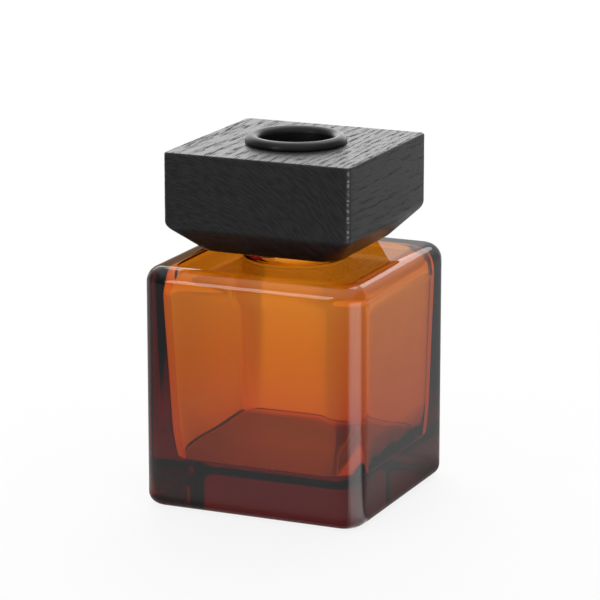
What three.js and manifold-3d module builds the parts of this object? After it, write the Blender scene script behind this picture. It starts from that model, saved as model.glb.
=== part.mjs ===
// A square aftershave bottle: thick-based amber glass with a threaded neck, and a black-stained
// wooden cap with a finger-wide hole through it, edged by a black ring. The cap holds a screwed
// plastic insert and a loose seal washer, and the neck holds a press-in orifice plug.
// Millimetres, +Z up. The origin is the centre of the face the bottle stands on.
import * as THREE from "three";
import { mergeVertices } from "three/addons/utils/BufferGeometryUtils.js";
import Module from "manifold-3d";

const wasm = await Module();
wasm.setup();

// ---------------------------------------------------------------- driving dimensions

const bottle = {
  width: 60,
  height: 62.3, // to the shoulder
  cornerRadius: 6,
  edgeRadius: 4,
  baseThickness: 12,
  wallAtFloor: 6.2,
  wallAtShoulder: 3.7,
  shoulderThickness: 3,
  cavityCornerRadius: 5,
  floorFillet: { reach: 1.6, height: 4 }, // elliptical
  roofFillet: { reach: 6, height: 5.5 },
};

const neck = {
  radius: 12.5,
  boreRadius: 9.5,
  height: 14, // above the shoulder
  rootRadius: 1.2,
  rimRadius: 0.8,
};

const thread = {
  pitch: 4.23, // six turns to the inch
  depth: 1.15,
  rootWidth: 2.1,
  crestWidth: 0.9,
  neckTurns: 1.15,
  insertTurns: 1.1,
  belowRim: 2.4, // from the rim to the middle of the neck ridge's top end
  radialGap: 0.35,
  flankGap: 0.3,
};

const plug = {
  flangeInset: 0.9, // from the neck's outer wall in to the flange's edge
  flangeThickness: 1,
  barrelLength: 8,
  wall: 1.3,
  orificeRadius: 3.5,
  spoutHeight: 0.7,
  spoutWall: 0.9,
  edgeChamfer: 0.3,
  leadIn: 0.4, // how much narrower the barrel's lower end is
  ribHeight: 0.12,
  ribWidth: 1.2,
  ribPlaces: [0.3, 0.6], // shares of the barrel, from its lower end
};

const washer = {
  thickness: 1.2,
  innerGap: 0.45, // between the edge of the insert's hole and the washer's
  outerGap: 0.7, // round it, inside the insert
};

const insert = {
  wall: 2,
  webThickness: 2,
  recess: 0.4, // from the cap's underside up to the skirt's lower edge
  threadInset: 1.3, // from there up to the middle of the ridge's lower end
  lipReach: 1.1, // the bead that keeps the washer in
  lipHeight: 1.2,
  ribCount: 16,
  ribHeight: 0.3,
  ribWidth: 1,
  ribInset: 1, // from the web's top face down to the ribs
};

const cap = {
  width: 50.5,
  height: 25.8,
  cornerRadius: 1.2,
  footCornerRadius: 5.5, // round the chamfer's lower end
  edgeRadius: 0.5,
  chamferHeight: 6.9,
  chamferInset: 6.3,
  shoulderGap: 3.1, // the air between the shoulder and the cap
};

const ring = {
  boreRadius: 9.45,
  tubeWall: 1.55,
  beadRadius: 1.75,
  beadRise: 0.45, // the bead's centre above the cap's top face
};

const fitGap = 0.15; // round every piece pushed into another
const seatGap = 0.1; // under every piece resting on another

const cutPast = 1; // how far a cutting tool runs past the face it opens

const ROUND_SEGMENTS = 48;
const FILLET_SEGMENTS = 5;
const EDGE_SEGMENTS = 3;
const BEAD_SEGMENTS = 20;

// ---------------------------------------------------------------- levels

const roofZ = bottle.height - bottle.shoulderThickness; // the underside of the shoulder
const rimZ = bottle.height + neck.height;
const plugTopZ = rimZ + seatGap + plug.flangeThickness;
const washerZ = plugTopZ + seatGap;
const webZ = washerZ + washer.thickness + seatGap;
const webTopZ = webZ + insert.webThickness;
const capZ = bottle.height + cap.shoulderGap;
const capTopZ = capZ + cap.height;
const insertRootRadius = neck.radius + thread.radialGap + thread.depth;
const insertRadius = insertRootRadius + insert.wall;
const ringTubeRadius = ring.boreRadius + ring.tubeWall;

// ---------------------------------------------------------------- geometry helpers

// A closed three.js geometry as a solid that can be joined and cut.
function solid(geometry) {
  const bare = geometry.clone();
  bare.deleteAttribute("normal");
  bare.deleteAttribute("uv");
  const merged = mergeVertices(bare, 1e-4);
  return new wasm.Manifold(
    new wasm.Mesh({
      numProp: 3,
      vertProperties: merged.attributes.position.array,
      triVerts: new Uint32Array(merged.index.array),
    }),
  );
}

function geometryOf(manifold) {
  const { vertProperties, triVerts } = manifold.getMesh();
  const geometry = new THREE.BufferGeometry();
  geometry.setAttribute("position", new THREE.BufferAttribute(vertProperties, 3));
  geometry.setIndex(new THREE.BufferAttribute(triVerts, 1));
  geometry.computeVertexNormals();
  return geometry;
}

const point = (x, y) => new THREE.Vector2(x, y);

// Points of an elliptical arc in a profile's plane, both ends included; angles in degrees.
function ellipticalArc(x, y, radiusX, radiusY, from, to, segments = FILLET_SEGMENTS) {
  return Array.from({ length: segments + 1 }, (_, i) => {
    const angle = THREE.MathUtils.degToRad(from + ((to - from) * i) / segments);
    return point(x + radiusX * Math.cos(angle), y + radiusY * Math.sin(angle));
  });
}

function arc(x, y, radius, from, to, segments) {
  return ellipticalArc(x, y, radius, radius, from, to, segments);
}

// A profile of (radius, height) points, in order up the outside, turned round the Z axis.
function turned(profile) {
  return new THREE.LatheGeometry(profile, ROUND_SEGMENTS).rotateX(Math.PI / 2);
}

function cylinder(radius, fromZ, toZ) {
  return turned([point(0, fromZ), point(radius, fromZ), point(radius, toZ), point(0, toZ)]);
}

// A tube round the Z axis. Its profile closes on itself.
function tube(innerRadius, outerRadius, fromZ, toZ) {
  return turned([
    point(innerRadius, fromZ),
    point(outerRadius, fromZ),
    point(outerRadius, toZ),
    point(innerRadius, toZ),
    point(innerRadius, fromZ),
  ]);
}

function roundedSquare(width, cornerRadius) {
  const centre = width / 2 - cornerRadius;
  const shape = new THREE.Shape();
  shape.absarc(centre, centre, cornerRadius, 0, Math.PI / 2);
  shape.absarc(-centre, centre, cornerRadius, Math.PI / 2, Math.PI);
  shape.absarc(-centre, -centre, cornerRadius, Math.PI, Math.PI * 1.5);
  shape.absarc(centre, -centre, cornerRadius, Math.PI * 1.5, Math.PI * 2);
  shape.closePath();
  return shape;
}

// A square block whose size follows a list of [width, cornerRadius, z] stations. Each point of
// the outline lies on a corner's arc, and keeps its angle round that corner.
function stackedSquare(stations) {
  const steps = stations.length - 1;
  const geometry = new THREE.ExtrudeGeometry(roundedSquare(4, 1), {
    depth: 1,
    steps,
    bevelEnabled: false,
    curveSegments: FILLET_SEGMENTS,
  });
  const { position } = geometry.attributes;
  for (let i = 0; i < position.count; i++) {
    const [width, cornerRadius, z] = stations[Math.round(position.getZ(i) * steps)];
    const centre = width / 2 - cornerRadius;
    const [x, y] = [position.getX(i), position.getY(i)].map(
      (end) => Math.sign(end) * (centre + cornerRadius * (Math.abs(end) - 1)),
    );
    position.setXYZ(i, x, y, z);
  }
  return geometry;
}

// A thread ridge: a trapezium drawn out to a prism, then bent round the Z axis and lowered by
// one pitch a turn from its top end. side is 1 for a ridge outside its wall and -1 for one inside.
function threadRidge({ wallRadius, side, turns, topZ, topAngle }) {
  const sunk = 0.5;
  const runOut = 0.12; // of a turn, where the ridge rises out of its wall
  const lowest = 0.25; // of the section left at each end, which lies inside the wall
  const flare = (thread.rootWidth - thread.crestWidth) / 2 / thread.depth; // of each flank
  const root = thread.rootWidth / 2 + sunk * flare;
  const section = new THREE.Shape([
    point(-sunk * side, -root),
    point(thread.depth * side, -thread.crestWidth / 2),
    point(thread.depth * side, thread.crestWidth / 2),
    point(-sunk * side, root),
  ]);
  const ridge = new THREE.ExtrudeGeometry(section, {
    depth: turns,
    steps: Math.ceil(turns * ROUND_SEGMENTS),
    bevelEnabled: false,
  });
  const { position } = ridge.attributes;
  for (let i = 0; i < position.count; i++) {
    const turn = position.getZ(i);
    const rise = THREE.MathUtils.clamp(Math.min(turn, turns - turn) / runOut, lowest, 1);
    const radius = wallRadius - sunk * side + (position.getX(i) + sunk * side) * rise;
    const angle = topAngle - turn * 2 * Math.PI;
    const z = topZ - turn * thread.pitch + position.getY(i);
    position.setXYZ(i, radius * Math.cos(angle), radius * Math.sin(angle), z);
  }
  return ridge;
}

// ---------------------------------------------------------------- the bottle

function glassBody() {
  const { width, height, cornerRadius, edgeRadius } = bottle;
  const block = new THREE.ExtrudeGeometry(roundedSquare(width, cornerRadius), {
    depth: height - 2 * edgeRadius,
    bevelThickness: edgeRadius,
    bevelSize: edgeRadius,
    bevelOffset: -edgeRadius,
    bevelSegments: FILLET_SEGMENTS,
    curveSegments: FILLET_SEGMENTS,
  });
  return block.translate(0, 0, edgeRadius);
}

// The hollow inside: drafted walls, with a fillet round the floor and another under the shoulder.
function cavity() {
  const { wallAtFloor, wallAtShoulder, floorFillet, roofFillet } = bottle;
  const floorZ = bottle.baseThickness;
  const widthAt = (z) => {
    const share = (z - floorZ) / (roofZ - floorZ);
    return bottle.width - 2 * THREE.MathUtils.lerp(wallAtFloor, wallAtShoulder, share);
  };
  const outline = [
    ...ellipticalArc(
      -floorFillet.reach, floorZ + floorFillet.height, floorFillet.reach, floorFillet.height, -90, 0,
    ),
    ...ellipticalArc(
      -roofFillet.reach, roofZ - roofFillet.height, roofFillet.reach, roofFillet.height, 0, 90,
    ),
  ];
  return stackedSquare(
    outline.map(({ x: inset, y: z }) => [widthAt(z) + 2 * inset, bottle.cavityCornerRadius, z]),
  );
}

function neckBlank() {
  const { radius, rootRadius, rimRadius } = neck;
  const root = arc(radius + rootRadius, bottle.height + rootRadius, rootRadius, 270, 180);
  const rim = arc(radius - rimRadius, rimZ - rimRadius, rimRadius, 0, 90);
  const buriedZ = bottle.height - bottle.shoulderThickness / 2;
  return turned([
    point(0, buriedZ),
    point(radius + rootRadius, buriedZ),
    ...root,
    ...rim,
    point(0, rimZ),
  ]);
}

function neckBore() {
  const { boreRadius, rimRadius } = neck;
  return turned([
    point(0, roofZ - cutPast),
    point(boreRadius, roofZ - cutPast),
    ...arc(boreRadius + rimRadius, rimZ - rimRadius, rimRadius, 180, 90),
    point(boreRadius + rimRadius, rimZ + cutPast),
    point(0, rimZ + cutPast),
  ]);
}

const neckThreadTopZ = rimZ - thread.belowRim;

function glassBottle() {
  const ridge = threadRidge({
    wallRadius: neck.radius,
    side: 1,
    turns: thread.neckTurns,
    topZ: neckThreadTopZ,
    topAngle: 0,
  });
  return solid(glassBody())
    .add(solid(neckBlank()))
    .add(solid(ridge))
    .subtract(solid(cavity()))
    .subtract(solid(neckBore()));
}

// A soft plug pushed into the bore: a flange on the rim, a ribbed barrel, and a pouring orifice.
function orificePlug() {
  const barrelRadius = neck.boreRadius - fitGap;
  const flangeRadius = neck.radius - plug.flangeInset;
  const flangeZ = rimZ + seatGap;
  const barrelEndZ = rimZ - plug.barrelLength;
  const ribs = plug.ribPlaces.flatMap((place) => {
    const z = barrelEndZ + place * plug.barrelLength;
    return [
      point(barrelRadius, z - plug.ribWidth / 2),
      point(barrelRadius + plug.ribHeight, z),
      point(barrelRadius, z + plug.ribWidth / 2),
    ];
  });
  const spoutRadius = plug.orificeRadius + plug.spoutWall;
  return turned([
    point(barrelRadius - plug.wall, barrelEndZ),
    point(barrelRadius - plug.leadIn, barrelEndZ),
    ...ribs,
    point(barrelRadius, flangeZ),
    point(flangeRadius, flangeZ),
    point(flangeRadius, plugTopZ - plug.edgeChamfer),
    point(flangeRadius - plug.edgeChamfer, plugTopZ),
    point(spoutRadius, plugTopZ),
    point(spoutRadius - plug.edgeChamfer, plugTopZ + plug.spoutHeight),
    point(plug.orificeRadius, plugTopZ + plug.spoutHeight),
    point(plug.orificeRadius, flangeZ),
    point(barrelRadius - plug.wall, flangeZ),
    point(barrelRadius - plug.wall, barrelEndZ),
  ]);
}

// ---------------------------------------------------------------- the cap

function sealWasher() {
  const innerRadius = ring.boreRadius + washer.innerGap;
  const outerRadius = insertRootRadius - washer.outerGap;
  return tube(innerRadius, outerRadius, washerZ, washerZ + washer.thickness);
}

// The screwed cup glued into the wood: a ribbed skirt, a web over the washer, an inner ridge
// that catches under the neck's, and a small bead that keeps the washer from dropping out.
function threadInsert() {
  const skirtZ = capZ + insert.recess;
  const lipZ = washerZ - seatGap;
  const midWallRadius = insertRootRadius + insert.wall / 2;
  const lip = turned([
    point(midWallRadius, lipZ - insert.lipHeight),
    point(midWallRadius, lipZ),
    point(insertRootRadius, lipZ),
    point(insertRootRadius - insert.lipReach, lipZ - insert.lipHeight / 2),
    point(insertRootRadius, lipZ - insert.lipHeight),
    point(midWallRadius, lipZ - insert.lipHeight),
  ]);
  // At any radius the two ridges' half widths add up to this, so the flank gap is even.
  const flankToFlank = (thread.rootWidth + thread.crestWidth) / 2
    - (thread.radialGap / thread.depth) * (thread.rootWidth - thread.crestWidth) / 2;
  const drop = flankToFlank + thread.flankGap;
  const topZ = skirtZ + insert.threadInset + thread.insertTurns * thread.pitch;
  const ridge = threadRidge({
    wallRadius: insertRootRadius,
    side: -1,
    turns: thread.insertTurns,
    topZ,
    topAngle: ((topZ + drop - neckThreadTopZ) / thread.pitch) * 2 * Math.PI,
  });
  let made = solid(tube(insertRootRadius, insertRadius, skirtZ, webTopZ))
    .add(solid(tube(ring.boreRadius, midWallRadius, webZ, webTopZ)))
    .add(solid(lip))
    .add(solid(ridge));
  for (let i = 0; i < insert.ribCount; i++) {
    const depth = insert.wall / 2 + insert.ribHeight;
    const ribTopZ = webTopZ - insert.ribInset;
    const rib = new THREE.BoxGeometry(depth, insert.ribWidth, ribTopZ - skirtZ)
      .translate(insertRadius + insert.ribHeight - depth / 2, 0, (ribTopZ + skirtZ) / 2)
      .rotateZ(((i + 0.5) / insert.ribCount) * 2 * Math.PI);
    made = made.add(solid(rib));
  }
  return made;
}

function woodCap() {
  const { width, cornerRadius, edgeRadius, chamferHeight, chamferInset } = cap;
  const eased = arc(-edgeRadius, capTopZ - edgeRadius, edgeRadius, 0, 90, EDGE_SEGMENTS);
  const block = stackedSquare([
    [width - 2 * chamferInset, cap.footCornerRadius, capZ],
    [width, cornerRadius, capZ + chamferHeight],
    ...eased.map(({ x: inset, y: z }) => [width + 2 * inset, cornerRadius, z]),
  ]);
  const pocketRadius = insertRadius + insert.ribHeight + fitGap;
  const pocket = cylinder(pocketRadius, capZ - cutPast, webTopZ + seatGap);
  const hole = cylinder(ringTubeRadius + fitGap, capZ, capTopZ + cutPast);
  return solid(block).subtract(solid(pocket)).subtract(solid(hole));
}

// The black ring round the hole: a bead standing on the wood, and a tube lining the hole.
function holeRing() {
  const { boreRadius, beadRadius, beadRise } = ring;
  const beadZ = capTopZ + beadRise;
  const undersideZ = capTopZ + seatGap;
  const beadStart = THREE.MathUtils.radToDeg(Math.asin((undersideZ - beadZ) / beadRadius));
  return turned([
    point(boreRadius, webTopZ + seatGap),
    point(ringTubeRadius, webTopZ + seatGap),
    point(ringTubeRadius, undersideZ),
    ...arc(boreRadius + beadRadius, beadZ, beadRadius, beadStart, 180, BEAD_SEGMENTS),
    point(boreRadius, webTopZ + seatGap),
  ]);
}

// ---------------------------------------------------------------- the assembly

const amberGlass = new THREE.MeshStandardMaterial({
  color: 0xb05a1e,
  roughness: 0.03,
  metalness: 0,
  transparent: true,
  opacity: 0.6,
});
const naturalPolythene = new THREE.MeshStandardMaterial({ color: 0xdcdcd4, roughness: 0.45 });
const paleFoam = new THREE.MeshStandardMaterial({ color: 0xe6e3da, roughness: 0.9 });
const blackPlastic = new THREE.MeshStandardMaterial({ color: 0x161616, roughness: 0.3 });
const mattBlackPlastic = new THREE.MeshStandardMaterial({ color: 0x1b1b1b, roughness: 0.55 });
const blackStainedWood = new THREE.MeshStandardMaterial({ color: 0x2a2a2b, roughness: 0.6 });

function mesh(name, geometry, material) {
  const made = new THREE.Mesh(geometry, material);
  made.name = name;
  return made;
}

const bottleGroup = new THREE.Group().add(
  mesh("glass_bottle", geometryOf(glassBottle()), amberGlass),
  mesh("orifice_plug", orificePlug(), naturalPolythene),
);
const capGroup = new THREE.Group().add(
  mesh("seal_washer", sealWasher(), paleFoam),
  mesh("thread_insert", geometryOf(threadInsert()), mattBlackPlastic),
  mesh("wood_cap", geometryOf(woodCap()), blackStainedWood),
  mesh("hole_ring", holeRing(), blackPlastic),
);

export default new THREE.Group().add(bottleGroup, capGroup);
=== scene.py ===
"""The looks of a square amber-glass aftershave bottle with a black-stained wooden screw cap.

Every shape is written in millimetres, in the CAD model's frame, and becomes a mesh in metres.
"""

import math

import bmesh
import bpy
from mathutils import Matrix, Vector, noise


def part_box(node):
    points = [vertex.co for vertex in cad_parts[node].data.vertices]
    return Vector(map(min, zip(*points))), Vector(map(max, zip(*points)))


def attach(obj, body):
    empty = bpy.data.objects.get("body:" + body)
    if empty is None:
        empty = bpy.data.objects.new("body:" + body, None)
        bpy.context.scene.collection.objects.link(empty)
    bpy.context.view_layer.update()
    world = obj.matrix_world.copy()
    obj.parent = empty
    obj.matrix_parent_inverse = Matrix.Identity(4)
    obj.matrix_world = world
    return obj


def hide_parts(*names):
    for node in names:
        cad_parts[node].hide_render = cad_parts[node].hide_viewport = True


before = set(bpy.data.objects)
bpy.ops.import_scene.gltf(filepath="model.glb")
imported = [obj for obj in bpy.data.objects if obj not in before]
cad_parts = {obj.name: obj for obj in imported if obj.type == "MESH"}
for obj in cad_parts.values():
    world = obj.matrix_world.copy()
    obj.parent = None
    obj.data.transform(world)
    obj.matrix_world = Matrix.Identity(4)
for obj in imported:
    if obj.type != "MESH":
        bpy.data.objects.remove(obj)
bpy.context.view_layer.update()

MM = 0.001
TURN = 2 * math.pi


def box_mm(node):
    """A CAD node's lowest and highest corners, in millimetres."""
    low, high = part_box(node)
    return low / MM, high / MM


def top_beyond(node, reach):
    """The height of a CAD node's highest point lying further than reach from its axis along X."""
    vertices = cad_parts[node].data.vertices
    return max(v.co.z for v in vertices if abs(v.co.x) > reach * MM) / MM


GLASS_HIGH = box_mm("glass_bottle")[1]
PLUG_LOW, PLUG_HIGH = box_mm("orifice_plug")
WASHER_LOW, WASHER_HIGH = box_mm("seal_washer")
INSERT_LOW, INSERT_HIGH = box_mm("thread_insert")
CAP_LOW, CAP_HIGH = box_mm("wood_cap")
RING_LOW, RING_HIGH = box_mm("hole_ring")

# ---------------------------------------------------------------- sizes, from the boxes where they say

BOTTLE_HALF = GLASS_HIGH.x
RIM_Z = GLASS_HIGH.z
SHOULDER_Z = top_beyond("glass_bottle", BOTTLE_HALF / 2)
BOTTLE_CORNER = 6.0
BASE_EDGE = 3.0
SHOULDER_EDGE = 4.2
FLOOR_Z = 12.0
ROOF_Z = SHOULDER_Z - 3.0
WALL_AT_FLOOR = 6.2
WALL_AT_SHOULDER = 3.7
HOLLOW_CORNER = 6.0
FLOOR_TAPER = (0.8, 10.0)  # how far in, over what height
FLOOR_EDGE = 0.8
ROOF_FILLET = (3.0, 5.5)  # its reach and its height

NECK_RADIUS = 12.5
NECK_ROOT = (1.2, 1.2)  # its reach and its height
RIM_EDGE = 0.8
BORE_RADIUS = 9.5
BORE_EDGE = 1.0

PITCH = 4.23
THREAD_DEPTH = 1.15
THREAD_ROOT = 2.1
THREAD_CREST = 0.9
THREAD_RUN_OUT = 0.12  # in turns
THREAD_GAP = 0.35
FLANK_GAP = 0.3
NECK_TURNS = 1.15
NECK_THREAD_TOP = RIM_Z - 2.4
INSERT_TURNS = 1.1
INSERT_THREAD_TOP = INSERT_LOW.z + 1.3 + INSERT_TURNS * PITCH

INSERT_BORE = NECK_RADIUS + THREAD_GAP + THREAD_DEPTH
INSERT_RIB = 0.3
INSERT_RIBS = 16
INSERT_WEB = 2.0
LIP_REACH = 1.1
LIP_HEIGHT = 1.2

PLUG_FLANGE = 1.0
PLUG_WALL = 1.3
PLUG_SPOUT = 0.7
PLUG_LEAD_IN = (0.4, 1.8)  # its reach and its height
ORIFICE_RADIUS = 3.5
WASHER_BORE = 9.9
SEAL_GAP = 0.1

CAP_HALF = CAP_HIGH.x
CAP_CORNER = 1.3
FOOT_CORNER = 5.5
CAP_EDGE = 0.5
CHAMFER_HEIGHT = 6.9
CHAMFER_INSET = 6.3
FOOT_EDGE = 0.6
WAIST_EDGE = 1.2
CAP_HOLE = 11.15
POCKET_RADIUS = INSERT_HIGH.x + 0.15
POCKET_TOP = INSERT_HIGH.z + 0.1

RING_BORE = 9.45
RING_TUBE = 11.0
BEAD_RADIUS = (RING_HIGH.x - RING_BORE) / 2
BEAD_Z = RING_HIGH.z - BEAD_RADIUS

# ---------------------------------------------------------------- loops and skins

CORNER_STEPS = 12
SIDE_STEPS = 20
AROUND = 4 * (CORNER_STEPS + SIDE_STEPS)


def square(half, corner, z):
    """A level loop round a rounded square."""
    flat = half - corner
    quarter = [(half, -flat + 2 * flat * i / SIDE_STEPS) for i in range(SIDE_STEPS)]
    for i in range(CORNER_STEPS):
        angle = TURN / 4 * i / CORNER_STEPS
        quarter.append((flat + corner * math.cos(angle), flat + corner * math.sin(angle)))
    loop = []
    for side in range(4):
        turn = Matrix.Rotation(side * TURN / 4, 2)
        loop += [(turn @ Vector(p)).to_3d() + Vector((0, 0, z)) for p in quarter]
    return loop


def circle(radius, z):
    """A level loop round the axis. radius is a number, or a function of the angle."""
    loop = []
    for i in range(AROUND):
        angle = TURN * (i - SIDE_STEPS / 2) / AROUND
        r = radius(angle) if callable(radius) else radius
        loop.append(Vector((r * math.cos(angle), r * math.sin(angle), z)))
    return loop


def between(first, last, shares):
    """Loops that lie at these shares of the way from one loop to another."""
    return [[a.lerp(b, share) for a, b in zip(first, last)] for share in shares]


def arc(x, z, radius_x, radius_z, start, end, steps):
    """Points of an elliptical arc in a profile's plane, both ends included; angles in degrees."""
    angles = [math.radians(start + (end - start) * i / steps) for i in range(steps + 1)]
    return [(x + radius_x * math.cos(a), z + radius_z * math.sin(a)) for a in angles]


def levels(start, end, step, margin=0.3):
    """Heights from start to end, both left out, with one close to each end to keep edges crisp."""
    direction = math.copysign(1, end - start)
    first, last = start + direction * margin, end - direction * margin
    count = max(1, round(abs(last - first) / step))
    return [first + (last - first) * i / count for i in range(count + 1)]


def wavy(loop, depth, wavelength):
    """A loop pushed in and out a little, as moulded glass and sanded wood are."""
    made = []
    for p in loop:
        push = depth * noise.noise(p / wavelength)
        made.append(p + Vector((p.x, p.y, 0)).normalized() * push)
    return made


def skin(name, loops, closed=False, crease=35):
    """One closed surface through loops of AROUND points. closed joins the last loop to the first."""
    mesh = bmesh.new()
    rings = [[mesh.verts.new(p * MM) for p in loop] for loop in loops]
    strips = list(zip(rings, rings[1:]))
    if closed:
        strips.append((rings[-1], rings[0]))
    else:
        mesh.faces.new(list(reversed(rings[0])))
        mesh.faces.new(rings[-1])
    for low, high in strips:
        for i in range(AROUND):
            j = (i + 1) % AROUND
            mesh.faces.new((low[i], low[j], high[j], high[i]))
    bmesh.ops.recalc_face_normals(mesh, faces=mesh.faces)
    if mesh.calc_volume(signed=True) < 0:
        bmesh.ops.reverse_faces(mesh, faces=mesh.faces)
    data = bpy.data.meshes.new(name)
    mesh.to_mesh(data)
    mesh.free()
    data.shade_smooth()
    data.set_sharp_from_angle(angle=math.radians(crease))
    piece = bpy.data.objects.new(name, data)
    bpy.context.scene.collection.objects.link(piece)
    return piece


def lathe(name, profile, crease=35):
    """A closed profile of (radius, height) points turned round the axis."""
    return skin(name, [circle(radius, z) for radius, z in profile], closed=True, crease=crease)


def ridge(angle, z, turns, top_z, top_angle=0.0):
    """How far a helical thread stands out of its wall at an angle and a height."""
    height = 0.0
    turn = ((top_angle - angle) / TURN) % 1
    while turn <= turns:
        off = abs(z - (top_z - turn * PITCH))
        flank = (THREAD_ROOT / 2 - off) / ((THREAD_ROOT - THREAD_CREST) / 2)
        rise = min(turn, turns - turn) / THREAD_RUN_OUT
        height = max(height, THREAD_DEPTH * max(0, min(1, flank, rise)))
        turn += 1
    return height


# ---------------------------------------------------------------- the bottle


def hollow(z, inset=0.0):
    """The loop of the hollow's wall at a height, moved in by a fillet's inset."""
    share = (z - FLOOR_Z) / (ROOF_Z - FLOOR_Z)
    half = BOTTLE_HALF - WALL_AT_FLOOR + share * (WALL_AT_FLOOR - WALL_AT_SHOULDER) - inset
    corner = HOLLOW_CORNER * half / (BOTTLE_HALF - WALL_AT_SHOULDER)
    return wavy(square(half, corner, z), depth=0.03, wavelength=9)


def glass_outside():
    """Loops from the middle of the base up the outside to the shoulder's inner edge."""
    flat = BOTTLE_HALF - BASE_EDGE
    shares = (0.1, 0.4, 0.7, 0.985)
    loops = [square(flat * s, (BOTTLE_CORNER - BASE_EDGE) * s, 0) for s in shares]
    for x, z in arc(0, BASE_EDGE, BASE_EDGE, BASE_EDGE, -90, 0, 10):
        loops.append(square(flat + x, BOTTLE_CORNER - BASE_EDGE + x, z))
    side_top = SHOULDER_Z - SHOULDER_EDGE
    for z in levels(BASE_EDGE, side_top, 3):
        loops.append(square(BOTTLE_HALF, BOTTLE_CORNER, z))
    for x, z in arc(0, side_top, SHOULDER_EDGE, SHOULDER_EDGE, 0, 90, 10):
        half = BOTTLE_HALF - SHOULDER_EDGE + x
        loops.append(square(half, BOTTLE_CORNER - SHOULDER_EDGE + x, z))
    return loops


def glass_neck():
    """Loops from the neck's root up its threaded wall, over the rim and down the bore."""
    reach, height = NECK_ROOT
    root = arc(NECK_RADIUS + reach, SHOULDER_Z + height, reach, height, 270, 180, 12)
    loops = [circle(r, z) for r, z in root]
    for z in levels(SHOULDER_Z + height, RIM_Z - RIM_EDGE, 0.3):
        loops.append(
            circle(lambda a: NECK_RADIUS + ridge(a, z, NECK_TURNS, NECK_THREAD_TOP), z)
        )
    rim_z = RIM_Z - RIM_EDGE
    loops += [circle(r, z) for r, z in arc(NECK_RADIUS - RIM_EDGE, rim_z, RIM_EDGE, RIM_EDGE, 0, 90, 6)]
    loops += [circle(r, z) for r, z in arc(BORE_RADIUS + RIM_EDGE, rim_z, RIM_EDGE, RIM_EDGE, 90, 180, 6)]
    bore_end = ROOF_Z + BORE_EDGE
    loops += [circle(BORE_RADIUS, z) for z in levels(rim_z, bore_end, 3)]
    edge = arc(BORE_RADIUS + BORE_EDGE, bore_end, BORE_EDGE, BORE_EDGE, 180, 270, 6)
    loops += [circle(r, z) for r, z in edge]
    return loops


def glass_hollow():
    """Loops from under the roof of the hollow down its walls to the middle of its floor."""
    reach, height = ROOF_FILLET
    loops = []
    for x, z in arc(-reach, ROOF_Z - height, reach, height, 90, 0, 10):
        loops.append(hollow(z, -x))
    wall_top = ROOF_Z - height
    reach, height = FLOOR_TAPER
    for z in levels(wall_top, FLOOR_Z + FLOOR_EDGE, 1):
        share = max(0, 1 - (z - FLOOR_Z) / height)
        loops.append(hollow(z, reach * share**2))
    foot = reach * (1 - FLOOR_EDGE / height) ** 2 + FLOOR_EDGE
    for x, z in arc(-foot, FLOOR_Z + FLOOR_EDGE, FLOOR_EDGE, FLOOR_EDGE, 0, -90, 8):
        loops.append(hollow(z, -x))
    edge = loops[-1]
    centre = [Vector((p.x * 0.1, p.y * 0.1, FLOOR_Z)) for p in edge]
    loops += between(edge, centre, (0.015, 0.2, 0.4, 0.6, 0.8, 1))
    return loops


def make_bottle():
    outside, neck, inside = glass_outside(), glass_neck(), glass_hollow()
    across = (0.02, 0.35, 0.7, 0.97)
    shoulder = between(outside[-1], neck[0], across)
    roof = between(neck[-1], inside[0], across)
    return skin("bottle_glass", outside + shoulder + neck + roof + inside)


def make_plug():
    """The soft plug in the neck: flange on the rim, barrel with a lead-in, and a raised orifice."""
    flange = PLUG_HIGH.x
    barrel = BORE_RADIUS - 0.15
    top = PLUG_HIGH.z - PLUG_SPOUT
    under = top - PLUG_FLANGE
    inner = barrel - PLUG_WALL
    spout = ORIFICE_RADIUS + 0.9
    reach, height = PLUG_LEAD_IN
    profile = [
        (inner, PLUG_LOW.z),
        (barrel - reach, PLUG_LOW.z),
        (barrel, PLUG_LOW.z + height),
        (barrel, under),
        (flange - 0.2, under),
        *arc(flange - 0.4, under + 0.4, 0.4, 0.4, -60, 90, 6),
        (spout + 0.25, top),
        *arc(spout - 0.1, top + PLUG_SPOUT - 0.3, 0.3, 0.3, 0, 90, 5),
        (ORIFICE_RADIUS + 0.2, top + PLUG_SPOUT),
        (ORIFICE_RADIUS, top + PLUG_SPOUT - 0.2),
        (ORIFICE_RADIUS, under),
        (inner, under),
    ]
    return lathe("plug_moulding", profile)


def make_washer():
    edge = 0.25
    low, high = WASHER_LOW.z, WASHER_HIGH.z
    profile = [
        *arc(WASHER_BORE + edge, low + edge, edge, edge, 180, 270, 4),
        *arc(WASHER_HIGH.x - edge, low + edge, edge, edge, -90, 0, 4),
        *arc(WASHER_HIGH.x - edge, high - edge, edge, edge, 0, 90, 4),
        *arc(WASHER_BORE + edge, high - edge, edge, edge, 90, 180, 4),
    ]
    return lathe("foam_washer", profile)


# ---------------------------------------------------------------- the cap


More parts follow.
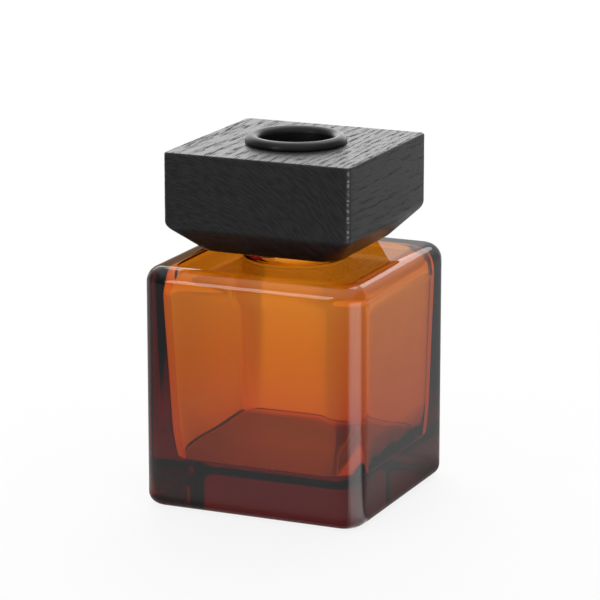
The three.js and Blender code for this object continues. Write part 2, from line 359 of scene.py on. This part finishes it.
def make_insert():
    """The plastic cup in the wood: ribbed outside, threaded inside, with a web over the neck."""
    edge = 0.25
    outer = INSERT_HIGH.x - INSERT_RIB
    low, top = INSERT_LOW.z, INSERT_HIGH.z
    web = top - INSERT_WEB
    lip = web - (WASHER_HIGH.z - WASHER_LOW.z) - 2 * SEAL_GAP

    def ribbed(angle):
        crest = math.cos(INSERT_RIBS * angle + TURN / 2)
        return outer + INSERT_RIB * max(0, crest * 2 - 1)

    flare = THREAD_GAP / THREAD_DEPTH * (THREAD_ROOT - THREAD_CREST) / 2
    drop = (THREAD_ROOT + THREAD_CREST) / 2 - flare + FLANK_GAP
    top_angle = (INSERT_THREAD_TOP + drop - NECK_THREAD_TOP) / PITCH * TURN

    def threaded(z):
        return lambda a: INSERT_BORE - ridge(a, z, INSERT_TURNS, INSERT_THREAD_TOP, top_angle)

    loops = [circle(INSERT_BORE + edge, low), circle(outer - edge, low), circle(outer, low + edge)]
    loops += [circle(ribbed, z) for z in levels(low + edge, top - 1, 3)]
    loops += [circle(outer, top - 0.7), circle(outer, top - edge), circle(outer - edge, top)]
    loops += [circle(RING_BORE + edge, top), circle(RING_BORE, top - edge)]
    loops += [circle(RING_BORE, web + edge), circle(RING_BORE + edge, web)]
    loops += [circle(INSERT_BORE, web), circle(INSERT_BORE, lip)]
    loops += [circle(INSERT_BORE - LIP_REACH, lip - LIP_HEIGHT / 2)]
    loops += [circle(INSERT_BORE, lip - LIP_HEIGHT)]
    loops += [circle(threaded(z), z) for z in levels(lip - LIP_HEIGHT, low + edge, 0.3)]
    return skin("insert_moulding", loops, closed=True)


def make_cap():
    """The wooden block: chamfered below, eased above, with a through hole over a pocket."""
    low, top = CAP_LOW.z, CAP_HIGH.z
    foot = CAP_HALF - CHAMFER_INSET
    waist = low + CHAMFER_HEIGHT
    nick = 0.25

    # the outside from the foot up: (half width, corner radius, height)
    slope = CHAMFER_INSET / CHAMFER_HEIGHT
    corner_slope = (FOOT_CORNER - CAP_CORNER) / CHAMFER_HEIGHT

    def chamfer(z):
        rise = z - low
        return foot + slope * rise, FOOT_CORNER - corner_slope * rise, z

    def eased(start, bend, end, steps):
        """A quadratic curve from start to end that leaves and arrives towards bend."""
        made = []
        for i in range(steps + 1):
            t = i / steps
            weights = ((1 - t) ** 2, 2 * t * (1 - t), t**2)
            made.append([sum(w * p[k] for w, p in zip(weights, (start, bend, end))) for k in range(3)])
        return made

    side = (CAP_HALF, CAP_CORNER)
    under = (foot - FOOT_EDGE, FOOT_CORNER - FOOT_EDGE, low)
    outline = eased(under, chamfer(low), chamfer(low + 0.7), 5)
    outline += [chamfer(low + 0.9), chamfer(low + 3.5), chamfer(waist - 1.6)]
    outline += eased(chamfer(waist - WAIST_EDGE), chamfer(waist), (*side, waist + WAIST_EDGE), 6)
    outline += [(*side, z) for z in levels(waist + WAIST_EDGE, top - CAP_EDGE, 3, margin=0.25)]
    for x, z in arc(CAP_HALF - CAP_EDGE, top - CAP_EDGE, CAP_EDGE, CAP_EDGE, 0, 90, 5):
        outline.append((x, CAP_CORNER, z))
    loops = [wavy(square(*station), depth=0.05, wavelength=2.5) for station in outline]
    loops = between(circle(POCKET_RADIUS + nick, low), loops[0], (0, 0.5, 0.93)) + loops
    hole = circle(CAP_HOLE + nick, top)
    loops += between(loops[-1], hole, (0.02, 0.35, 0.7, 0.97, 1))
    loops += [circle(CAP_HOLE, top - nick), circle(CAP_HOLE, POCKET_TOP)]
    loops += [circle(POCKET_RADIUS, POCKET_TOP), circle(POCKET_RADIUS, low + nick)]
    return skin("cap_block", loops, closed=True, crease=30)


def make_ring():
    """The black ring: a round bead on the wood and a tube down the hole."""
    under = CAP_HIGH.z + 0.1
    start = math.degrees(math.asin((under - BEAD_Z) / BEAD_RADIUS))
    bead = arc(RING_BORE + BEAD_RADIUS, BEAD_Z, BEAD_RADIUS, BEAD_RADIUS, start, 180, 32)
    profile = [(RING_BORE, RING_LOW.z), (RING_TUBE, RING_LOW.z), (RING_TUBE, under), *bead]
    return lathe("hole_bead", profile)


# ---------------------------------------------------------------- materials

AMBER = (0.925, 0.675, 0.03, 1)
AMBER_DENSITY = 560  # per metre
STAINED = 0.009  # how light the stained wood is
WORN_AND_HIGHLIGHT = 0.17  # and how much lighter the upright corners' dashes are: worn stain and a painted highlight
PITH = (-30.0, 30.0)  # the growth rings' centre along X and Z, below the cap and to its left
GROWTH_WIDTH = 1.3  # one growth ring
GROWTH_WANDER = 6.0  # how far the growth rings stray from round
GROWTH_RADIUS = 50.0  # about their radius in the cap


class Nodes:
    """A node tree, with one short call for each node."""

    def __init__(self, tree):
        self.tree = tree
        tree.nodes.clear()

    def put(self, socket, value):
        if isinstance(value, bpy.types.NodeSocket):
            self.tree.links.new(value, socket)
        elif value is not None:
            socket.default_value = value

    def node(self, kind, inputs=None, **settings):
        node = self.tree.nodes.new("ShaderNode" + kind)
        for key, value in settings.items():
            setattr(node, key, value)
        for key, value in (inputs or {}).items():
            self.put(node.inputs[key], value)
        return node

    def add(self, kind, inputs=None, out=0, **settings):
        """A node's output, the first unless out says otherwise."""
        return self.node(kind, inputs, **settings).outputs[out]

    def math(self, operation, a, b=None, c=None):
        return self.add("Math", dict(enumerate((a, b, c))), operation=operation)

    def dot(self, a, b):
        return self.add("VectorMath", {0: a, 1: b}, out="Value", operation="DOT_PRODUCT")

    def step(self, value, low, high, start=0.0, end=1.0):
        """start below low, end above high, and a smooth change in between."""
        inputs = {"Value": value, "From Min": low, "From Max": high, "To Min": start, "To Max": end}
        return self.add("MapRange", inputs, interpolation_type="SMOOTHSTEP")


class Shader(Nodes):
    """A material's node tree, which starts with a Principled surface."""

    def __init__(self, name):
        self.material = bpy.data.materials.new(name)
        self.material.use_nodes = True
        super().__init__(self.material.node_tree)
        self.output = self.node("OutputMaterial")
        self.surface = self.node("BsdfPrincipled")
        self.put(self.output.inputs["Surface"], self.surface.outputs["BSDF"])

    def noise(self, place, stretch, detail=2.0):
        """Noise whose grains measure about stretch millimetres along X, Y and Z."""
        inverse = tuple(1 / s for s in stretch)
        vector = self.add("VectorMath", {0: place, 1: inverse}, operation="MULTIPLY")
        return self.add("TexNoise", {"Vector": vector, "Scale": 1.0, "Detail": detail, "Roughness": 0.5})

    def place(self):
        """The point on the object, in millimetres."""
        where = self.add("TexCoord", out="Object")
        return self.add("VectorMath", {0: where, "Scale": 1 / MM}, operation="SCALE")

    def split(self, vector):
        """A vector's X, Y and Z."""
        return self.node("SeparateXYZ", {0: vector}).outputs

    def principled(self, **values):
        for key, value in values.items():
            self.put(self.surface.inputs[key.replace("_", " ")], value)

    def bump(self, height, depth):
        """Bumps of depth millimetres."""
        inputs = {"Height": height, "Strength": 1.0, "Distance": depth * MM}
        self.put(self.surface.inputs["Normal"], self.add("Bump", inputs))


def grey(value):
    return (value, value, value, 1)


def amber_glass():
    """Clear glass whose colour is all in its depth."""
    s = Shader("amber_glass")
    s.principled(Base_Color=grey(1), Roughness=0.0, IOR=1.5, Transmission_Weight=1.0)
    s.bump(s.noise(s.place(), (14, 14, 14), detail=1), depth=0.02)
    volume = s.add("VolumeAbsorption", {"Color": AMBER, "Density": AMBER_DENSITY})
    s.put(s.output.inputs["Volume"], volume)
    return s.material


def growth_rings(s, place):
    """The distance from the pith and the way round it, and the early wood, 1 inside each ring."""
    x, _, z = s.split(place)
    across = s.math("SUBTRACT", x, PITH[0])
    above = s.math("SUBTRACT", z, PITH[1])
    radius = s.math("SQRT", s.math("ADD", s.math("POWER", across, 2.0), s.math("POWER", above, 2.0)))
    radius = s.math("MULTIPLY_ADD", s.noise(place, (24, 90, 24), detail=3), GROWTH_WANDER, radius)
    around = s.math("MULTIPLY", s.math("ARCTAN2", above, across), GROWTH_RADIUS)
    share = s.math("FRACT", s.math("DIVIDE", radius, GROWTH_WIDTH))
    early = s.math("MULTIPLY", s.step(share, 0.0, 0.1), s.step(share, 0.35, 0.7, 1, 0))
    return radius, around, early


def corner_wear_and_highlight(s, place):
    """1 in short dashes up the cap's upright corners, and 0 elsewhere: worn stain and a painted
    highlight.
    """
    x, y, _ = s.split(place)
    inward = s.math("MINIMUM", s.math("ABSOLUTE", x), s.math("ABSOLUTE", y))
    corner = s.step(inward, CAP_HALF - 0.75, CAP_HALF - 0.5)
    dashes = s.noise(place, (2.5, 2.5, 0.9), detail=1.5)
    return s.math("MULTIPLY", corner, s.step(dashes, 0.5, 0.6))


def stained_wood():
    """Ash with its grain along Y, stained black, with lighter dashes up its upright corners: worn stain
    and a painted highlight.
    """
    s = Shader("black_stained_wood")
    place = s.place()
    radius, around, early = growth_rings(s, place)
    normal = s.split(s.add("NewGeometry", out="Normal"))
    end_grain = s.step(s.math("ABSOLUTE", normal["Y"]), 0.5, 0.7)
    side = s.step(s.math("ABSOLUTE", normal["X"]), 0.5, 0.7)

    # on the faces along the grain: fine fibres, broad clouds, and open pores, mostly in early wood
    vessels = s.noise(place, (0.27, 5.5, 0.27), detail=1.5)
    pores = s.step(s.math("MULTIPLY_ADD", early, 0.15, vessels), 0.64, 0.7)
    pores = s.math("MULTIPLY", pores, s.step(side, 0, 1, 1, 0.45))
    fibres = s.noise(place, (0.4, 7, 0.4), detail=3)
    cloud = s.noise(place, (16, 40, 16), detail=2)
    tone = s.step(fibres, 0.3, 0.7, 0.75, 1.25)
    tone = s.math("MULTIPLY", tone, s.step(cloud, 0.35, 0.65, 0.85, 1.15))
    tone = s.math("MULTIPLY", tone, s.step(pores, 0, 1, 1, 0.6))
    rough = s.step(pores, 0, 1, 0.36, 0.75)
    relief = s.math("MULTIPLY_ADD", fibres, 0.4, s.math("MULTIPLY", pores, -0.5))

    # on the end faces: strokes that follow the growth rings
    polar = s.add("CombineXYZ", {"X": radius, "Y": around, "Z": s.split(place)["Y"]})
    strokes = s.noise(polar, (0.42, 2.8, 5), detail=2.5)
    end_tone = s.step(strokes, 0.38, 0.62, 0.35, 1.5)

    tone = s.add("Mix", {0: end_grain, 2: tone, 3: end_tone})
    rough = s.add("Mix", {0: end_grain, 2: rough, 3: 0.52})
    relief = s.add("Mix", {0: end_grain, 2: relief, 3: strokes})
    # the upright corners' lighter dashes: worn stain and a painted highlight
    shade = s.math("MULTIPLY_ADD", corner_wear_and_highlight(s, place), WORN_AND_HIGHLIGHT, s.math("MULTIPLY", tone, STAINED))
    colour = s.add("CombineColor", {0: shade, 1: shade, 2: s.math("MULTIPLY", shade, 1.02)})
    s.principled(Base_Color=colour, Roughness=rough, IOR=1.43)
    s.bump(relief, depth=0.1)
    return s.material


def moulded(name, shade, roughness, grain, depth, **values):
    """A moulded plastic: a fine grain in its surface, and broad changes of its tone and gloss."""
    s = Shader(name)
    fine = s.noise(s.place(), (grain, grain, grain), detail=2)
    broad = s.noise(s.place(), (8, 8, 8), detail=2)
    tone = s.step(broad, 0.3, 0.7, 0.9, 1.1)
    channels = {i: s.math("MULTIPLY", tone, part) for i, part in enumerate(shade)}
    s.principled(Base_Color=s.add("CombineColor", channels), IOR=1.5, **values)
    s.principled(Roughness=s.step(broad, 0.3, 0.7, roughness * 0.85, roughness * 1.15))
    s.bump(fine, depth)
    return s.material


# ---------------------------------------------------------------- the assembly


def dress(piece, node, body, material):
    piece.data.materials.append(material)
    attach(piece, body)
    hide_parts(node)


dress(make_bottle(), "glass_bottle", "bottle", amber_glass())
dress(make_plug(), "orifice_plug", "bottle", moulded(
    "natural_polythene", (0.72, 0.72, 0.68), 0.4, 0.8, 0.01, Subsurface_Weight=0.2))
dress(make_washer(), "seal_washer", "seal", moulded(
    "pale_foam", (0.78, 0.76, 0.7), 0.85, 0.25, 0.04))
dress(make_insert(), "thread_insert", "cap", moulded(
    "matt_black_plastic", (0.012, 0.012, 0.012), 0.5, 0.3, 0.01))
dress(make_cap(), "wood_cap", "cap", stained_wood())
dress(make_ring(), "hole_ring", "cap", moulded(
    "black_plastic", (0.006, 0.006, 0.006), 0.35, 0.5, 0.006, Specular_IOR_Level=0.33))

# ---------------------------------------------------------------- the studio

VIEW_AZIMUTH = 23.807  # degrees round from -Y: where the viewer stands
VIEW_ELEVATION = 13.975
VIEW_DISTANCE = 14.287  # in bottle widths, as are the two below
VIEW_ASIDE = 0.0163
VIEW_ABOVE = 0.8095

STUDIO_AZIMUTH = 23.8  # the studio's front


def toward(azimuth, elevation=0):
    """The unit vector from the object to a place at an azimuth round from -Y and an elevation."""
    a, e = math.radians(azimuth), math.radians(elevation)
    return Vector((math.sin(a) * math.cos(e), -math.cos(a) * math.cos(e), math.sin(e)))


STUDIO_BACK = toward(STUDIO_AZIMUTH + 180)
STUDIO_RIGHT = toward(STUDIO_AZIMUTH + 90)


def make_camera():
    data = bpy.data.cameras.new("camera")
    data.sensor_width = 36
    data.lens = 198.1
    data.clip_start, data.clip_end = 0.05, 20
    camera = bpy.data.objects.new("camera", data)
    bpy.context.scene.collection.objects.link(camera)
    back = toward(VIEW_AZIMUTH, VIEW_ELEVATION)
    right = Vector((0, 0, 1)).cross(back).normalized()
    up = back.cross(right)
    width = 2 * BOTTLE_HALF * MM
    camera.location = (back * VIEW_DISTANCE + right * VIEW_ASIDE + up * VIEW_ABOVE) * width
    camera.rotation_euler = Matrix((right, up, back)).transposed().to_euler()
    bpy.context.scene.camera = camera


def make_world():
    """White to the camera and through glass. To all else a room that darkens to its sides and front."""
    world = bpy.data.worlds.new("studio")
    bpy.context.scene.world = world
    world.use_nodes = True
    n = Nodes(world.node_tree)
    direction = n.add("TexCoord", out="Generated")
    aside = n.math("ABSOLUTE", n.dot(direction, STUDIO_RIGHT))
    sides = n.step(aside, 0.45, 0.85, 1.0, 0.35)
    front = n.step(n.dot(direction, toward(STUDIO_AZIMUTH + 180, 50)), -0.6, 0.5, 0.4, 1.0)
    room = n.add("Background", {"Color": grey(1), "Strength": n.math("MULTIPLY", sides, front)})
    white = n.add("Background", {"Color": grey(1)})
    path = n.node("LightPath").outputs
    seen = n.math("MAXIMUM", path["Is Camera Ray"], path["Is Transmission Ray"])
    mix = n.add("MixShader", {0: seen, 1: room, 2: white})
    n.node("OutputWorld", {"Surface": mix})


def stage_piece(name, points, faces, materials):
    """A mesh of the studio's own, from points in millimetres."""
    data = bpy.data.meshes.new(name)
    data.from_pydata([Vector(p) * MM for p in points], [], faces)
    for material in materials:
        data.materials.append(material)
    piece = bpy.data.objects.new(name, data)
    bpy.context.scene.collection.objects.link(piece)
    return piece


def floor_material():
    """White with a soft shadow to the camera, and lit in other ways to reflections and through glass.

    Through the glass it shows a painted light behind the bottle that falls off to both sides, and
    painted shade under the bottle, where there is little light. In reflections it is dim, with a
    painted shadow that makes it dimmest close to the bottle, but for a painted bright wedge at the
    front right and a paler painted patch at the front left.
    """
    s = Shader("floor")
    s.principled(Base_Color=grey(0.85), Roughness=0.7)
    place = s.place()
    x, y, _ = s.split(place)
    away = s.math("MAXIMUM", s.math("ABSOLUTE", x), s.math("ABSOLUTE", y))
    # painted shade under the bottle, for rays through the glass
    outside = s.step(away, BOTTLE_HALF - 3, BOTTLE_HALF + 1, 0.35, 1.0)
    # a painted light behind the bottle, seen through the glass, falling off to both sides
    light_centre = -4.0
    aside = s.math("SUBTRACT", s.dot(place, STUDIO_RIGHT), light_centre)
    painted_backlight = s.step(s.math("ABSOLUTE", aside), 6, 30, 0.93, 0.66)

    # what reflections show, all painted light and shade: the wedge opens from its tip, which lies under
    # the bottle
    wedge_tip, wedge_middle = toward(45) * BOTTLE_HALF, toward(69)
    patch_centre = (-25, -75, 0)
    ray = s.add("VectorMath", {0: place, 1: wedge_tip}, operation="SUBTRACT")
    ray = s.add("VectorMath", {0: ray}, operation="NORMALIZE")
    wedge = s.step(s.dot(ray, wedge_middle), 0.78, 0.97, 0.45, 2.9)
    beyond = s.add("VectorMath", {0: place, 1: patch_centre}, out="Value", operation="DISTANCE")
    painted_patches = s.math("MAXIMUM", wedge, s.step(beyond, 20, 120, 0.75, 0.45))
    # a painted shadow in reflections, darkest close to the bottle
    painted_patches = s.math("MULTIPLY", painted_patches, s.step(away, BOTTLE_HALF, BOTTLE_HALF + 16, 0.45, 1.0))

    path = s.node("LightPath").outputs
    camera, through = path["Is Camera Ray"], path["Is Transmission Ray"]
    mirrored = s.math("SUBTRACT", path["Is Glossy Ray"], through)
    shown = s.math("MULTIPLY", s.math("MULTIPLY", through, outside), painted_backlight)
    strength = s.math("MULTIPLY_ADD", mirrored, painted_patches, s.math("ADD", shown, camera))
    weight = s.math("MULTIPLY_ADD", camera, 0.85, s.math("MULTIPLY", through, outside))
    weight = s.math("MAXIMUM", weight, mirrored)
    glow = s.add("Emission", {"Strength": strength})
    mix = s.add("MixShader", {0: weight, 1: s.surface.outputs["BSDF"], 2: glow})
    s.put(s.output.inputs["Surface"], mix)
    return s.material


def make_floor():
    reach, drop = 4000, -0.2
    points = [(-reach, -reach, drop), (reach, -reach, drop), (reach, reach, drop), (-reach, reach, drop)]
    stage_piece("floor", points, [(0, 1, 2, 3)], [floor_material()])


def card_material(name, shade):
    """A card that looks the same whatever light falls on it."""
    s = Shader(name)
    s.principled(Base_Color=grey(0), Specular_IOR_Level=0.0)
    s.principled(Emission_Color=shade, Emission_Strength=1.0)
    return s.material


def show_only(piece, kind):
    """Hides a piece from all rays but one kind."""
    for name in ("camera", "diffuse", "glossy", "transmission", "shadow", "volume_scatter"):
        setattr(piece, "visible_" + name, name == kind)


def make_cards():
    """Cards behind the bottle, seen only in reflections: the glass shoulder mirrors them.

    A black one in the middle keeps the room off the shoulder, a pale grey one lies right of and
    below it, and a dim warm one left of it.
    """
    distance, reach = 58, 80
    low, middle, high = 46, 60, 86
    corners = [
        (-reach, low), (reach, low), (reach, middle), (15, middle), (-2, middle),
        (-reach, middle), (-reach, high), (-44, high), (30, high), (reach, high),
    ]
    points = [STUDIO_BACK * distance + STUDIO_RIGHT * x + Vector((0, 0, z)) for x, z in corners]
    faces = [(0, 1, 2, 3, 4, 5), (3, 2, 9, 8), (5, 4, 7, 6), (4, 3, 8, 7)]
    grey_card = card_material("grey_card", grey(0.7))
    warm_card = card_material("warm_card", (0.42, 0.26, 0.15, 1))
    black_card = card_material("black_card", grey(0.0))
    cards = stage_piece("cards", points, faces, [grey_card, warm_card, black_card])
    for face, slot in zip(cards.data.polygons, (0, 0, 1, 2)):
        face.material_index = slot
    show_only(cards, "glossy")


def make_shade():
    """A dark card far back right, seen only through the glass: the base's left end shows it."""
    azimuth, distance = 156, 220
    reach, low, high = 45, 25, 180
    middle = Vector((-15, 30, 0)) + toward(azimuth) * distance
    across = toward(azimuth + 90)
    corners = [(-reach, low), (reach, low), (reach, high), (-reach, high)]
    points = [middle + across * x + Vector((0, 0, z)) for x, z in corners]
    dark_card = card_material("dark_card", grey(0.15))
    show_only(stage_piece("shade", points, [(0, 1, 2, 3)], [dark_card]), "transmission")


def softbox(name, azimuth, elevation, distance, size, radiance):
    """A rectangular lamp that faces the object's middle. distance and size are in metres."""
    data = bpy.data.lights.new(name, "AREA")
    data.shape = "RECTANGLE"
    data.size, data.size_y = size
    data.energy = math.pi * data.size * data.size_y * radiance
    lamp = bpy.data.objects.new(name, data)
    bpy.context.scene.collection.objects.link(lamp)
    back = toward(azimuth, elevation)
    lamp.location = Vector((0, 0, 0.05)) + back * distance
    lamp.rotation_euler = back.to_track_quat("Z", "Y").to_euler()
    lamp.visible_camera = False
    lamp.visible_transmission = False


make_camera()
make_world()
make_floor()
make_cards()
make_shade()
behind = STUDIO_AZIMUTH + 180
softbox("back_box", azimuth=behind, elevation=17, distance=1.2, size=(1.5, 0.66), radiance=1.5)
softbox("top_box", azimuth=190, elevation=60, distance=0.6, size=(0.5, 0.3), radiance=2.0)
softbox("front_strip", azimuth=-24, elevation=20, distance=0.6, size=(0.1, 0.2), radiance=4.0)

bpy.context.scene.view_settings.view_transform = "Standard"
